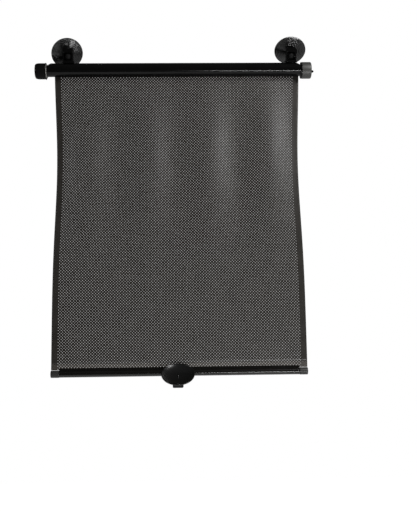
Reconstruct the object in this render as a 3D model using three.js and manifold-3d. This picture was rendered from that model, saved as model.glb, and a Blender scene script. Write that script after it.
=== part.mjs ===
// A spring roller sunshade for a car's side window, in millimetres, +Z up.
// +X is to the right as seen from inside the car, +Y points at the window glass.
// The origin is on the roller's axis, half way along the film.
import * as THREE from 'three';
import { mergeVertices } from 'three/addons/utils/BufferGeometryUtils.js';
import Module from 'manifold-3d';

const wasm = await Module();
wasm.setup();
const DEG = Math.PI / 180;

// Clearances
const SEAT_GAP = 0.3;
const RUN_GAP = 0.3;
const SLIDE_GAP = 0.35;

// How far a cutter runs past what it cuts, and joined solids run into each other
const CUT_PAST = 1;
const JOIN_LAP = 0.1;

// Film
const FILM_WIDTH = 360;
const FILM_T = 0.36;
const FILM_Y = 5.2;
const FILM_DROP = 439.4;
const ROLL_TURNS = 1.25;
const ROLL_PITCH = 0.5;
const WAVE_HEIGHT = 3.2;
const WAVE_LENGTH = 88;
const WAVE_CENTRE = 0.3;
const WAVE_SPREAD = 0.2;
const WAIST = 5.2;
const HEM_RISE = 13;

// Casing and head
const HEAD_TURN = 20 * DEG;
const CASING_PAST_FILM = [9.7, 1.6];
const CASING_R = 10;
const CASING_WALL = 1.3;
const CASING_RISE = 1.75;
const CASING_FLAT = 9.6;
const SLOT_FROM = -93 * DEG;
const SLOT_TO = -46 * DEG;
const CHANNEL_SLOT = 3.4;
const CHANNEL_WIDTH = 6.8;
const CHANNEL_HEIGHT = 1.8;
const CHANNEL_LIP = 1.1;
const CHANNEL_FLOOR = 0.9;
const END_CHAMFER = [6, 3.6];

// Roller and spring
const ROLLER_R = 4.1;
const ROLLER_WALL = 1;
const ROLLER_PAST_FILM = 0.2;
const CLAMP_GROOVE = [1.7, 0.6];
const CLAMP_STRIP_T = 0.5;
const ARBOR_R = 1.5;
const ARBOR_LENGTH = 88;
const SPRING_WIRE_R = 0.25;
const SPRING_MEAN_R = 2.35;
const SPRING_TURNS = 12;
const SPRING_LENGTH = 60;
const HUB_PLUG = 8;
const HUB_FLANGE = 0.8;

// End fittings
const LEFT_CAP_LENGTH = 16;
const LEFT_CAP_R = 11.6;
const RIGHT_CAP_LENGTH = 13.9;
const RIGHT_CAP_R = 12.05;
const CAP_WALL = 1.3;
const CAP_END_WALL = 1.6;
const CAP_ROUND = 2.6;
const RIM_BEAD = 0.45;
const PLUG_FLANGE = 0.7;
const PLATE_T = 1.3;
const PLATE_R = 11.9;
const TONGUE_DEPTH = 9;
const TONGUE_T = 0.9;
const TONGUE_SPANS = [[135 * DEG, 190 * DEG], [-10 * DEG, 45 * DEG]];

// Lock: ratchet wheel, pawl and release pin
const JOURNAL_R = 3;
const RATCHET_R = 6.2;
const RATCHET_DEPTH = 1.4;
const RATCHET_TEETH = 10;
const RATCHET_T = 2.8;
const RATCHET_START = 0.8;
const TOOTH_FACE_SHARE = 0.12;
const PIVOT_OUT = 7.2;
const PIVOT_RISE = 7.4;
const PAWL_WIDTH = 2.8;
const PAWL_BOSS_R = 1.7;
const PAWL_ARM_T = 1.8;
const PAWL_ARM_DROP = 10.4;
const PAWL_PIN_R = 0.6;
const PAWL_SIDE_ROOM = 2.2;
const PAWL_BACK_Z = 1.2;
const PAWL_WIRE_R = 0.2;
const PAWL_COIL_R = 1.2;
const PAWL_COIL_TURNS = 2;
const NOSE_T = 1.6;
const NOSE_BEVEL = [1.2, 0.8];
const LUG_T = 1.4;
const LUG_R = 1.5;
const PIN_DROP = 1.5;
const PIN_STEM_R = 1.2;
const PIN_BALL_R = 1.75;
const PIN_STANDOUT = 2.3;
const PIN_COLLAR = [2.8, 1.3];

// Suction cups
const CUP_R = 23;
const CUP_HEIGHT = 15;
const CUP_BALL_R = 5.2;
const CUP_NECK_R = 1.8;
const CUP_NECK_TO = 6.1;
const CUP_BOSS = [[3, 6.9], [6, 9]];
const CUP_BACK_FROM = [7.5, 9.7];
const CUP_RIM_T = 1.1;
const CUP_LAND = 1.1;
const CUP_HOLLOW = 4.2;
const CUP_NUB_R = 1.4;
const CUP_NUB_RISE = 2.2;
const CUP_RIBS = 4;
const CUP_RIB_SHARE = 0.7;
const CUP_RIB_RISE = 0.35;

// Brackets on the casing and the clip on the bar
const BLOCK_WIDTH = 15;
const BLOCK_DEPTH = [5.5, 3];
const BLOCK_TOP = 11.2;
const BLOCK_ROUND = 2.2;
const BALL_RISE = 21;
const WINDOW_GAP = 0.4;
const SOCKET_FRONT = 1;
const BASE_WIDTH = 18;
const BASE_T = 1.9;
const BASE_DEPTH = [6, 5];
const FOOT_LENGTH = 15;
const BRACKET_INSET = [21.4, 12.6];
const LEFT_CUP_TILT = [19.7, -12.9];
const RIGHT_CUP_TILT = [33.8, 0];

// Bottom bar
const BAR_R = 4.1;
const BAR_WALL = 1;
const BAR_SHORT = 1;
const BAR_CAP_LENGTH = 11;
const BAR_CAP_R = 5.1;
const BAR_CAP_PAST = 0.4;
const BAR_CAP_ROUND = 1;
const CLIP_X = -2.4;
const CLIP_ARM = 20.4;
const CLIP_TURN = 130.3 * DEG;
const CLIP_WALL = 1.7;
const CLIP_BLOCK_DEPTH = [4.2, 3];
const CLIP_BLOCK_TOP = 7.2;
const CLIP_LENGTH = 15;
const CLIP_OPENING = 130 * DEG;

const ROUND = 32;

// Ends of the casing and places of its brackets
const CASING_LEFT = -FILM_WIDTH / 2 - CASING_PAST_FILM[0];
const CASING_RIGHT = FILM_WIDTH / 2 + CASING_PAST_FILM[1];
const LEFT_BRACKET_X = BRACKET_INSET[0] - FILM_WIDTH / 2;
const RIGHT_BRACKET_X = FILM_WIDTH / 2 - BRACKET_INSET[1];

// Materials
const glossBlack = new THREE.MeshStandardMaterial({ color: 0x0c0c0d, roughness: 0.2, metalness: 0 });
const mattGrey = new THREE.MeshStandardMaterial({ color: 0x35363a, roughness: 0.6, metalness: 0 });
const softRubber = new THREE.MeshStandardMaterial({ color: 0x1b1b1c, roughness: 0.45, metalness: 0 });
const darkFilm = new THREE.MeshStandardMaterial({ color: 0x3a3733, roughness: 0.4, metalness: 0 });
const steel = new THREE.MeshStandardMaterial({ color: 0x8c8f92, roughness: 0.35, metalness: 1 });
const nylon = new THREE.MeshStandardMaterial({ color: 0x6d6c68, roughness: 0.55, metalness: 0 });

// Closed solids from three.js geometry, and back

function toSolid(geometry) {
  const bare = geometry.clone();
  bare.deleteAttribute('normal');
  bare.deleteAttribute('uv');
  const welded = mergeVertices(bare, 1e-4);
  const points = welded.attributes.position;
  const a = new THREE.Vector3();
  const b = new THREE.Vector3();
  const c = new THREE.Vector3();
  const faces = [];
  let volume = 0;
  for (let i = 0; i < welded.index.count; i += 3) {
    const face = [0, 1, 2].map((k) => welded.index.getX(i + k));
    if (new Set(face).size < 3) continue;
    a.fromBufferAttribute(points, face[0]);
    b.fromBufferAttribute(points, face[1]);
    c.fromBufferAttribute(points, face[2]);
    volume += a.dot(b.cross(c));
    faces.push(face);
  }
  const outward = volume > 0 ? faces : faces.map(([i, j, k]) => [i, k, j]);
  return new wasm.Manifold(new wasm.Mesh({
    numProp: 3,
    vertProperties: new Float32Array(points.array),
    triVerts: new Uint32Array(outward.flat()),
  }));
}

function toMesh(name, solid, material) {
  const { vertProperties, triVerts } = solid.getMesh();
  const geometry = new THREE.BufferGeometry();
  geometry.setAttribute('position', new THREE.BufferAttribute(new Float32Array(vertProperties), 3));
  geometry.setIndex(new THREE.BufferAttribute(new Uint32Array(triVerts), 1));
  geometry.computeVertexNormals();
  const mesh = new THREE.Mesh(geometry, material);
  mesh.name = name;
  return mesh;
}

// A section drawn in Y and Z, extruded along X from one place to another
function alongX(shape, from, to, curveSegments = 20) {
  const depth = to - from;
  const geometry = new THREE.ExtrudeGeometry(shape, { depth, bevelEnabled: false, curveSegments });
  const turn = new THREE.Matrix4().makeBasis(
    new THREE.Vector3(0, 1, 0), new THREE.Vector3(0, 0, 1), new THREE.Vector3(1, 0, 0));
  geometry.applyMatrix4(turn);
  geometry.translate(from, 0, 0);
  return toSolid(geometry);
}

// A section drawn in X and Z, extruded along Y
function alongY(shape, from, to, curveSegments = 20) {
  const depth = to - from;
  const geometry = new THREE.ExtrudeGeometry(shape, { depth, bevelEnabled: false, curveSegments });
  geometry.rotateX(Math.PI / 2);
  geometry.translate(0, to, 0);
  return toSolid(geometry);
}

// A profile of [radius, x] points turned about X
function turnedX(profile, segments = ROUND) {
  const points = profile.map(([r, x]) => new THREE.Vector2(r, x));
  const geometry = new THREE.LatheGeometry(points, segments);
  geometry.rotateZ(-Math.PI / 2);
  return toSolid(geometry);
}

// A profile of [radius, y] points turned about Y
function turnedY(profile, segments = ROUND) {
  return toSolid(new THREE.LatheGeometry(profile.map(([r, y]) => new THREE.Vector2(r, y)), segments));
}

function rodX(r, from, to, segments = ROUND) {
  return turnedX([[0, from], [r, from], [r, to], [0, to]], segments);
}

function tubeX(outer, inner, from, to, segments = ROUND) {
  return turnedX([[inner, from], [outer, from], [outer, to], [inner, to], [inner, from]], segments);
}

function rodY(r, from, to, segments = 24) {
  return turnedY([[0, from], [r, from], [r, to], [0, to]], segments);
}

function boxOf([x0, x1], [y0, y1], [z0, z1]) {
  const geometry = new THREE.BoxGeometry(x1 - x0, y1 - y0, z1 - z0);
  geometry.translate((x0 + x1) / 2, (y0 + y1) / 2, (z0 + z1) / 2);
  return toSolid(geometry);
}

// Quarter-round corner points for a turned profile
function corner(r, x, radius, sign, steps = 5) {
  const points = [];
  for (let i = 0; i <= steps; i += 1) {
    const a = (i / steps) * Math.PI / 2;
    points.push([r - radius + radius * Math.cos(a), x + sign * (radius * Math.sin(a) - radius)]);
  }
  return points;
}

function place(group, x, y, z) {
  group.position.set(x, y, z);
  return group;
}

// Casing: a round tube open along its lower back for the film,
// with an undercut channel along its top that holds the brackets' feet

const channelTop = CASING_RISE + CASING_FLAT;
const channelRoof = channelTop - CHANNEL_LIP;
const channelBed = channelRoof - CHANNEL_HEIGHT;
const channelUnder = channelBed - CHANNEL_FLOOR;

const rollerTo = FILM_WIDTH / 2 + ROLLER_PAST_FILM;
const rollerFrom = -rollerTo;

function casing() {
  const inner = CASING_R - CASING_WALL;
  const lip = CASING_WALL / 2;
  const mid = CASING_R - lip;
  const tube = new THREE.Shape();
  tube.absarc(0, CASING_RISE, CASING_R, SLOT_TO, SLOT_FROM + 2 * Math.PI, false);
  tube.absarc(0, CASING_RISE, inner, SLOT_FROM + 2 * Math.PI, SLOT_TO, true);
  tube.closePath();
  let shell = alongX(tube, CASING_LEFT, CASING_RIGHT, 48);
  for (const angle of [SLOT_FROM, SLOT_TO]) {
    const bead = rodX(lip, CASING_LEFT, CASING_RIGHT, 12);
    shell = shell.add(bead.translate([0, mid * Math.cos(angle), CASING_RISE + mid * Math.sin(angle)]));
  }
  const length = [CASING_LEFT - CUT_PAST, CASING_RIGHT + CUT_PAST];
  const half = CHANNEL_WIDTH / 2;
  const halfSlot = CHANNEL_SLOT / 2;
  const wall = half + CHANNEL_FLOOR;
  const over = CASING_RISE + CASING_R + CUT_PAST;
  const raised = [channelUnder, channelTop - JOIN_LAP];
  shell = shell.add(boxOf([CASING_LEFT, CASING_RIGHT], [-wall, wall], raised));
  shell = shell.subtract(boxOf(length, [-CASING_R, CASING_R], [channelTop, over]));
  shell = shell.subtract(boxOf(length, [-half, half], [channelBed, channelRoof]));
  shell = shell.subtract(boxOf(length, [-halfSlot, halfSlot], [channelBed + JOIN_LAP, over]));
  for (const [end, side] of [[CASING_LEFT, 1], [CASING_RIGHT, -1]]) {
    const [along, down] = END_CHAMFER;
    const rise = (CUT_PAST * down) / along;
    const wedge = new THREE.Shape();
    wedge.moveTo(end - side * CUT_PAST, channelTop - down - rise);
    wedge.lineTo(end + side * (along + CUT_PAST), channelTop + rise);
    wedge.lineTo(end - side * CUT_PAST, channelTop + rise);
    wedge.closePath();
    shell = shell.subtract(alongY(wedge, -CASING_R - CUT_PAST, CASING_R + CUT_PAST));
  }
  return toMesh('casing', shell, glossBlack);
}

// Inside of the casing, less a gap, with room left under the channel
function casingFill(from, to, gap) {
  const core = rodX(CASING_R - CASING_WALL - gap, from, to).translate([0, 0, CASING_RISE]);
  const length = [from - CUT_PAST, to + CUT_PAST];
  const over = boxOf(length, [-CASING_R, CASING_R], [channelUnder - gap, CASING_R * 2]);
  return core.subtract(over);
}

// Left end

const plugFace = CASING_LEFT - SEAT_GAP;
const leftCapEnd = plugFace - PLUG_FLANGE - SEAT_GAP;
const leftHubFace = rollerFrom - SEAT_GAP - HUB_FLANGE;
const arborEnd = leftCapEnd - LEFT_CAP_LENGTH / 2;

function leftEndPlug() {
  const flange = rodX(LEFT_CAP_R - CAP_WALL, plugFace - PLUG_FLANGE, plugFace);
  const body = casingFill(plugFace - JOIN_LAP, leftHubFace - RUN_GAP, SEAT_GAP);
  const spigot = rodX(LEFT_CAP_R - CAP_WALL - SEAT_GAP, leftCapEnd - LEFT_CAP_LENGTH / 3, plugFace);
  const bore = rodX(ARBOR_R + SEAT_GAP, arborEnd - CUT_PAST, leftHubFace + CUT_PAST, 24);
  return toMesh('left_end_plug', flange.add(body).add(spigot).subtract(bore), nylon);
}

function leftCap() {
  const end = leftCapEnd - LEFT_CAP_LENGTH;
  const bead = LEFT_CAP_R + RIM_BEAD;
  const inner = LEFT_CAP_R - CAP_WALL;
  const profile = [
    [0, end],
    ...corner(LEFT_CAP_R, end, CAP_ROUND, -1).reverse(),
    [LEFT_CAP_R, leftCapEnd - 2 * RIM_BEAD],
    [bead, leftCapEnd - 1.5 * RIM_BEAD],
    [bead, leftCapEnd - 0.5 * RIM_BEAD],
    [LEFT_CAP_R, leftCapEnd],
    [inner, leftCapEnd],
    [inner, end + CAP_END_WALL],
    [0, end + CAP_END_WALL],
  ];
  return toMesh('left_cap', turnedX(profile), mattGrey);
}

// Right end

const plateFace = CASING_RIGHT + SEAT_GAP;
const plateOut = plateFace + PLATE_T;
const rightCapFrom = plateOut + SEAT_GAP;
const rightCapTo = rightCapFrom + RIGHT_CAP_LENGTH;
const ratchetFrom = plateOut + RATCHET_START;
const ratchetTo = ratchetFrom + RATCHET_T;
const pivotX = plateOut + PIVOT_OUT;
const armFace = pivotX + PAWL_ARM_T / 2;
const lugInner = PAWL_WIDTH / 2 + PAWL_SIDE_ROOM;

// A part-ring inside the casing wall that locates the plate
function tongue(fromAngle, toAngle) {
  const outer = CASING_R - CASING_WALL - SEAT_GAP;
  const shape = new THREE.Shape();
  shape.absarc(0, CASING_RISE, outer, fromAngle, toAngle, false);
  shape.absarc(0, CASING_RISE, outer - TONGUE_T, toAngle, fromAngle, true);
  shape.closePath();
  return alongX(shape, CASING_RIGHT - TONGUE_DEPTH, plateFace + JOIN_LAP, 12);
}

function rightEndPlate() {
  let plate = rodX(PLATE_R, plateFace, plateOut);
  for (const span of TONGUE_SPANS) plate = plate.add(tongue(...span));
  for (const side of [-1, 1]) {
    const lug = new THREE.Shape();
    lug.moveTo(plateOut - JOIN_LAP, PIVOT_RISE - LUG_R);
    lug.lineTo(pivotX, PIVOT_RISE - LUG_R);
    lug.absarc(pivotX, PIVOT_RISE, LUG_R, -Math.PI / 2, Math.PI / 2, false);
    lug.lineTo(plateOut - JOIN_LAP, PIVOT_RISE + LUG_R);
    lug.closePath();
    const edges = [side * lugInner, side * (lugInner + LUG_T)].sort((a, b) => a - b);
    plate = plate.add(alongY(lug, edges[0], edges[1], 10));
  }
  plate = plate.subtract(rodX(JOURNAL_R + RUN_GAP, plateFace - CUT_PAST, plateOut + CUT_PAST));
  const acrossLugs = lugInner + LUG_T + CUT_PAST;
  const pinHole = rodY(PAWL_PIN_R + SEAT_GAP, -acrossLugs, acrossLugs, 16);
  plate = plate.subtract(pinHole.translate([pivotX, 0, PIVOT_RISE]));
  return toMesh('right_end_plate', plate, glossBlack);
}

function rightCap() {
  const inner = RIGHT_CAP_R - CAP_WALL;
  const profile = [
    [inner, rightCapFrom],
    [RIGHT_CAP_R, rightCapFrom],
    ...corner(RIGHT_CAP_R, rightCapTo, CAP_ROUND, 1),
    [0, rightCapTo],
    [0, rightCapTo - CAP_END_WALL],
    [inner, rightCapTo - CAP_END_WALL],
    [inner, rightCapFrom],
  ];
  const holeFrom = rightCapTo - CAP_END_WALL - CUT_PAST;
  const hole = rodX(PIN_BALL_R + SLIDE_GAP, holeFrom, rightCapTo + CUT_PAST, 24);
  return toMesh('right_cap', turnedX(profile).subtract(hole.translate([0, 0, -PIN_DROP])), mattGrey);
}

function pawlPin() {
  const half = lugInner + LUG_T;
  return toMesh('pawl_pin', rodY(PAWL_PIN_R, -half, half, 16).translate([pivotX, 0, PIVOT_RISE]), steel);
}

// A wire wound round an axis as a helix
class CoilCurve extends THREE.Curve {
  constructor(radius, turns, length) {
    super();
    this.radius = radius;
    this.turns = turns;
    this.length = length;
  }

  getPoint(t, target = new THREE.Vector3()) {
    const angle = t * this.turns * 2 * Math.PI;
    return target.set(t * this.length, this.radius * Math.cos(angle), this.radius * Math.sin(angle));
  }
}

function coil(radius, turns, length, wire, stepsPerTurn) {
  const section = new THREE.Shape();
  section.absarc(0, 0, wire, 0, 2 * Math.PI, false);
  const geometry = new THREE.ExtrudeGeometry(section, {
    extrudePath: new CoilCurve(radius, turns, length),
    steps: Math.round(turns * stepsPerTurn),
    curveSegments: 2,
    bevelEnabled: false,
  });
  return toSolid(geometry);
}

function pawlSpring() {
  const width = PAWL_SIDE_ROOM - 2 * SEAT_GAP - 2 * PAWL_WIRE_R;
  const spring = coil(PAWL_COIL_R, PAWL_COIL_TURNS, width, PAWL_WIRE_R, 10);
  const middle = (lugInner + PAWL_WIDTH / 2) / 2;
  const turned = spring.rotate([0, 0, 90]).translate([pivotX, middle - width / 2, PIVOT_RISE]);
  return toMesh('pawl_spring', turned, steel);
}

function pawl() {
  const shape = new THREE.Shape();
  const noseEnd = ratchetFrom - pivotX;
  const noseFoot = RATCHET_R + SEAT_GAP - PIVOT_RISE;
  const half = PAWL_ARM_T / 2;
  shape.moveTo(half, -PAWL_ARM_DROP);
  shape.lineTo(half, 0);
  shape.absarc(0, 0, PAWL_BOSS_R, 0, Math.PI / 2, false);
  shape.lineTo(noseEnd + NOSE_BEVEL[0], PAWL_BACK_Z);
  shape.lineTo(noseEnd, PAWL_BACK_Z - NOSE_BEVEL[1]);
  shape.lineTo(noseEnd, noseFoot);
  shape.lineTo(noseEnd + NOSE_T, noseFoot);
  shape.lineTo(noseEnd + NOSE_T + NOSE_BEVEL[0], PAWL_BACK_Z - PAWL_ARM_T);
  shape.lineTo(-PAWL_BOSS_R, PAWL_BACK_Z - PAWL_ARM_T);
  shape.lineTo(-half, -PAWL_BOSS_R);
  shape.lineTo(-half, -PAWL_ARM_DROP);
  shape.closePath();
  const bore = rodY(PAWL_PIN_R + RUN_GAP, -PAWL_WIDTH, PAWL_WIDTH, 16);
  const body = alongY(shape, -PAWL_WIDTH / 2, PAWL_WIDTH / 2, 10).subtract(bore);
  return toMesh('pawl', body.translate([pivotX, 0, PIVOT_RISE]), nylon);
}

function releasePin() {
  const ballX = rightCapTo + PIN_STANDOUT;
  const [collarR, collarT] = PIN_COLLAR;
  const collarTo = rightCapTo - CAP_END_WALL - SEAT_GAP;
  const stem = rodX(PIN_STEM_R, armFace + SEAT_GAP, ballX, 20);
  const collar = rodX(collarR, collarTo - collarT, collarTo, 24);
  const sphere = new THREE.SphereGeometry(PIN_BALL_R, 14, 10).rotateZ(Math.PI / 2);
  const ball = toSolid(sphere.translate(ballX, 0, 0));
  return toMesh('release_pin', stem.add(collar).add(ball).translate([0, 0, -PIN_DROP]), glossBlack);
}

// Roller, its spring and what is wound on it

const tubeInner = ROLLER_R - ROLLER_WALL;
const plugR = tubeInner - SEAT_GAP;
const springFrom = rollerFrom + HUB_PLUG + SEAT_GAP + SPRING_WIRE_R;

function rollerTube() {
  const [width, depth] = CLAMP_GROOVE;
  const groove = boxOf(
    [rollerFrom - CUT_PAST, rollerTo + CUT_PAST],
    [-width / 2, width / 2],
    [-ROLLER_R - CUT_PAST, depth - ROLLER_R],
  );
  const tube = tubeX(ROLLER_R, tubeInner, rollerFrom, rollerTo, 32);
  return toMesh('roller_tube', tube.subtract(groove), steel);
}

function filmClampStrip() {
  const [width, depth] = CLAMP_GROOVE;
  const half = width / 2 - SEAT_GAP;
  const bed = depth - ROLLER_R - SEAT_GAP;
  const strip = boxOf([rollerFrom, rollerTo], [-half, half], [bed - CLAMP_STRIP_T, bed]);
  return toMesh('film_clamp_strip', strip, nylon);
}

function leftHub() {
  const flange = rodX(ROLLER_R, leftHubFace, leftHubFace + HUB_FLANGE, 32);
  const plug = rodX(plugR, leftHubFace + HUB_FLANGE / 2, rollerFrom + HUB_PLUG, 32);
  const boreTo = rollerFrom + HUB_PLUG + CUT_PAST;
  const bore = rodX(ARBOR_R + RUN_GAP, leftHubFace - CUT_PAST, boreTo, 24);
  return toMesh('left_hub', flange.add(plug).subtract(bore), nylon);
}

function springDrivePlug() {
  const from = springFrom + SPRING_LENGTH + SPRING_WIRE_R + SEAT_GAP;
  const plug = rodX(plugR, from, from + HUB_PLUG, 32);
  const bore = rodX(ARBOR_R + RUN_GAP, from - CUT_PAST, from + HUB_PLUG + CUT_PAST, 24);
  return toMesh('spring_drive_plug', plug.subtract(bore), nylon);
}

function ratchetHub() {
  const flangeFrom = rollerTo + SEAT_GAP;
  const plug = rodX(plugR, rollerTo - HUB_PLUG, flangeFrom + JOIN_LAP, 32);
  const flange = rodX(ROLLER_R, flangeFrom, flangeFrom + HUB_FLANGE, 32);
  const journal = rodX(JOURNAL_R, flangeFrom, ratchetTo, 32);
  const shape = new THREE.Shape();
  const root = RATCHET_R - RATCHET_DEPTH;
  for (let i = 0; i < RATCHET_TEETH; i += 1) {
    const step = (2 * Math.PI) / RATCHET_TEETH;
    const a = i * step;
    const b = a + TOOTH_FACE_SHARE * step;
    const tip = [RATCHET_R * Math.cos(a), RATCHET_R * Math.sin(a)];
    const foot = [root * Math.cos(b), root * Math.sin(b)];
    if (i === 0) shape.moveTo(...tip);
    else shape.lineTo(...tip);
    shape.lineTo(...foot);
  }
  shape.closePath();
  const wheel = alongX(shape, ratchetFrom, ratchetTo);
  return toMesh('ratchet_hub', plug.add(flange).add(journal).add(wheel), nylon);
}

function springArbor() {
  return toMesh('spring_arbor', rodX(ARBOR_R, arborEnd, arborEnd + ARBOR_LENGTH, 24), steel);
}

function rewindSpring() {
  const spring = coil(SPRING_MEAN_R, SPRING_TURNS, SPRING_LENGTH, SPRING_WIRE_R, 8);
  return toMesh('rewind_spring', spring.translate([springFrom, 0, 0]), steel);
}

// The film's last turns on the roller, as one spiral sheet
function filmRoll() {
  const steps = Math.round(ROLL_TURNS * 28);
  const outer = [];
  const inner = [];
  for (let i = 0; i <= steps; i += 1) {
    const turn = (i / steps) * ROLL_TURNS;
    const r = FILM_Y - ROLL_PITCH * turn;
    const a = turn * 2 * Math.PI;
    outer.push(new THREE.Vector2((r + FILM_T / 2) * Math.cos(a), (r + FILM_T / 2) * Math.sin(a)));
    inner.push(new THREE.Vector2((r - FILM_T / 2) * Math.cos(a), (r - FILM_T / 2) * Math.sin(a)));
  }
  const shape = new THREE.Shape([...outer, ...inner.reverse()]);
  return toMesh('film_roll', alongX(shape, -FILM_WIDTH / 2, FILM_WIDTH / 2), darkFilm);
}

// The hanging film: a thin sheet with shallow upright waves that die out towards
// the roller and the bar, and draw its edges in a little where they are deepest

const panelTop = -SEAT_GAP;
const panelFoot = -FILM_DROP + HEM_RISE + SEAT_GAP;

function waveShare(t) {
  const ends = Math.sin(Math.PI * Math.min(1, t * 1.02)) ** 0.5;
  return ends * Math.exp(-(((t - WAVE_CENTRE) / WAVE_SPREAD) ** 2) / 2);
}

function filmPoint(s, t) {
  const share = waveShare(t);
  const x = (s - 0.5) * (FILM_WIDTH - 2 * WAIST * share);
  const wave = WAVE_HEIGHT * share * Math.cos((2 * Math.PI * x) / WAVE_LENGTH);
  return [x, FILM_Y + wave, panelTop + (panelFoot - panelTop) * t];
}

function filmPanel() {
  const across = 28;
  const down = 12;
  const points = [];
  for (const side of [-0.5, 0.5]) {
    for (let j = 0; j <= down; j += 1) {
      for (let i = 0; i <= across; i += 1) {
        const [x, y, z] = filmPoint(i / across, j / down);
        points.push(x, y + side * FILM_T, z);
      }
    }
  }
  const at = (side, i, j) => side * (across + 1) * (down + 1) + j * (across + 1) + i;
  const faces = [];
  const quad = (a, b, c, d) => faces.push(a, b, c, a, c, d);
  for (let j = 0; j < down; j += 1) {
    for (let i = 0; i < across; i += 1) {
      quad(at(0, i, j), at(0, i, j + 1), at(0, i + 1, j + 1), at(0, i + 1, j));
      quad(at(1, i, j), at(1, i + 1, j), at(1, i + 1, j + 1), at(1, i, j + 1));
    }
    quad(at(0, 0, j), at(1, 0, j), at(1, 0, j + 1), at(0, 0, j + 1));
    quad(at(0, across, j), at(0, across, j + 1), at(1, across, j + 1), at(1, across, j));
  }
  for (let i = 0; i < across; i += 1) {
    quad(at(0, i, 0), at(0, i + 1, 0), at(1, i + 1, 0), at(1, i, 0));
    quad(at(0, i, down), at(1, i, down), at(1, i + 1, down), at(0, i + 1, down));
  }
  const geometry = new THREE.BufferGeometry();
  geometry.setAttribute('position', new THREE.Float32BufferAttribute(points, 3));
  geometry.setIndex(faces);
  return toMesh('film_panel', toSolid(geometry), darkFilm);
}

// Bar at the film's foot, modelled about its own axis

const hemOuter = BAR_R + SEAT_GAP + FILM_T;
const pocketHalf = FILM_WIDTH / 2 - BAR_CAP_LENGTH - SEAT_GAP;
const barEnd = FILM_WIDTH / 2 - BAR_SHORT;

// The film's foot: two layers welded together, then parted round the bar
function filmHem() {
  const inner = BAR_R + SEAT_GAP;
  const pocket = tubeX(hemOuter, inner, -pocketHalf, pocketHalf, 36);
  const weld = boxOf([-pocketHalf, pocketHalf], [-FILM_T, FILM_T], [inner + FILM_T / 4, HEM_RISE]);
  const wide = [-FILM_WIDTH / 2, FILM_WIDTH / 2];
  const strip = boxOf(wide, [-FILM_T, FILM_T], [BAR_CAP_R + SEAT_GAP, HEM_RISE]);
  return toMesh('film_hem', pocket.add(weld).add(strip), darkFilm);
}

function bottomBar() {
  return toMesh('bottom_bar', tubeX(BAR_R, BAR_R - BAR_WALL, -barEnd, barEnd, 28), steel);
}

function barCap(name, side) {
  const end = FILM_WIDTH / 2 + BAR_CAP_PAST;
  const from = FILM_WIDTH / 2 - BAR_CAP_LENGTH;
  const inner = BAR_R + SEAT_GAP;
  const profile = [
    [inner, from],
    [BAR_CAP_R, from],
    ...corner(BAR_CAP_R, end, BAR_CAP_ROUND, 1, 3),
    [0, end],
    [0, barEnd + SEAT_GAP],
    [inner, barEnd + SEAT_GAP],
    [inner, from],
  ];
  const cap = turnedX(profile, 28);
  return toMesh(name, side > 0 ? cap : cap.rotate([0, 180, 0]), glossBlack);
}

// Suction cup about its ball: the ball sits at the origin and the rim faces +Y

function suctionCup(name) {
  const profile = [];
  const seatDepth = Math.sqrt(CUP_BALL_R ** 2 - CUP_NECK_R ** 2);
  const ballSteps = 5;
  for (let i = 0; i <= ballSteps; i += 1) {
    const end = Math.acos(seatDepth / CUP_BALL_R);
    const a = Math.PI - (i / ballSteps) * (Math.PI - end);
    profile.push([i === 0 ? 0 : CUP_BALL_R * Math.sin(a), CUP_BALL_R * Math.cos(a)]);
  }
  profile.push([CUP_NECK_R, CUP_NECK_TO], ...CUP_BOSS);
  const backTo = [CUP_R, CUP_HEIGHT - CUP_RIM_T];
  for (let i = 0; i < CUP_RIBS; i += 1) {
    const at = (share) => [0, 1].map((k) => CUP_BACK_FROM[k] + (backTo[k] - CUP_BACK_FROM[k]) * share);
    const [r, y] = at(i / CUP_RIBS);
    const [r2, y2] = at((i + CUP_RIB_SHARE) / CUP_RIBS);
    profile.push([r, y], [r2, y2 - CUP_RIB_RISE]);
  }
  profile.push(backTo, [CUP_R, CUP_HEIGHT], [CUP_R - CUP_LAND, CUP_HEIGHT]);
  const bed = CUP_HEIGHT - CUP_HOLLOW;
  for (const share of [0.8, 0.5]) {
    profile.push([share * (CUP_R - CUP_LAND), bed + CUP_HOLLOW * share ** 3]);
  }
  profile.push([CUP_NUB_R, bed], [CUP_NUB_R * 0.8, bed + CUP_NUB_RISE], [0, bed + CUP_NUB_RISE]);
  return toMesh(name, turnedY(profile, 28), softRubber);
}

// Block with the cup's socket, about the ball's centre: the ball sits behind a
// square window in the front and its neck leaves through the back wall

function socketBlock(foot, top, [front, back]) {
  const half = BLOCK_WIDTH / 2;
  const outline = new THREE.Shape();
  outline.moveTo(-half, foot);
  outline.lineTo(half, foot);
  outline.lineTo(half, top - BLOCK_ROUND);
  outline.absarc(half - BLOCK_ROUND, top - BLOCK_ROUND, BLOCK_ROUND, 0, Math.PI / 2, false);
  outline.absarc(BLOCK_ROUND - half, top - BLOCK_ROUND, BLOCK_ROUND, Math.PI / 2, Math.PI, false);
  outline.closePath();
  const open = CUP_BALL_R + WINDOW_GAP;
  const window = boxOf([-open, open], [-front - CUT_PAST, SOCKET_FRONT], [-open, open]);
  const seat = toSolid(new THREE.SphereGeometry(CUP_BALL_R + RUN_GAP, 20, 14));
  return alongY(outline, -front, back, 6).subtract(window).subtract(seat);
}

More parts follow.
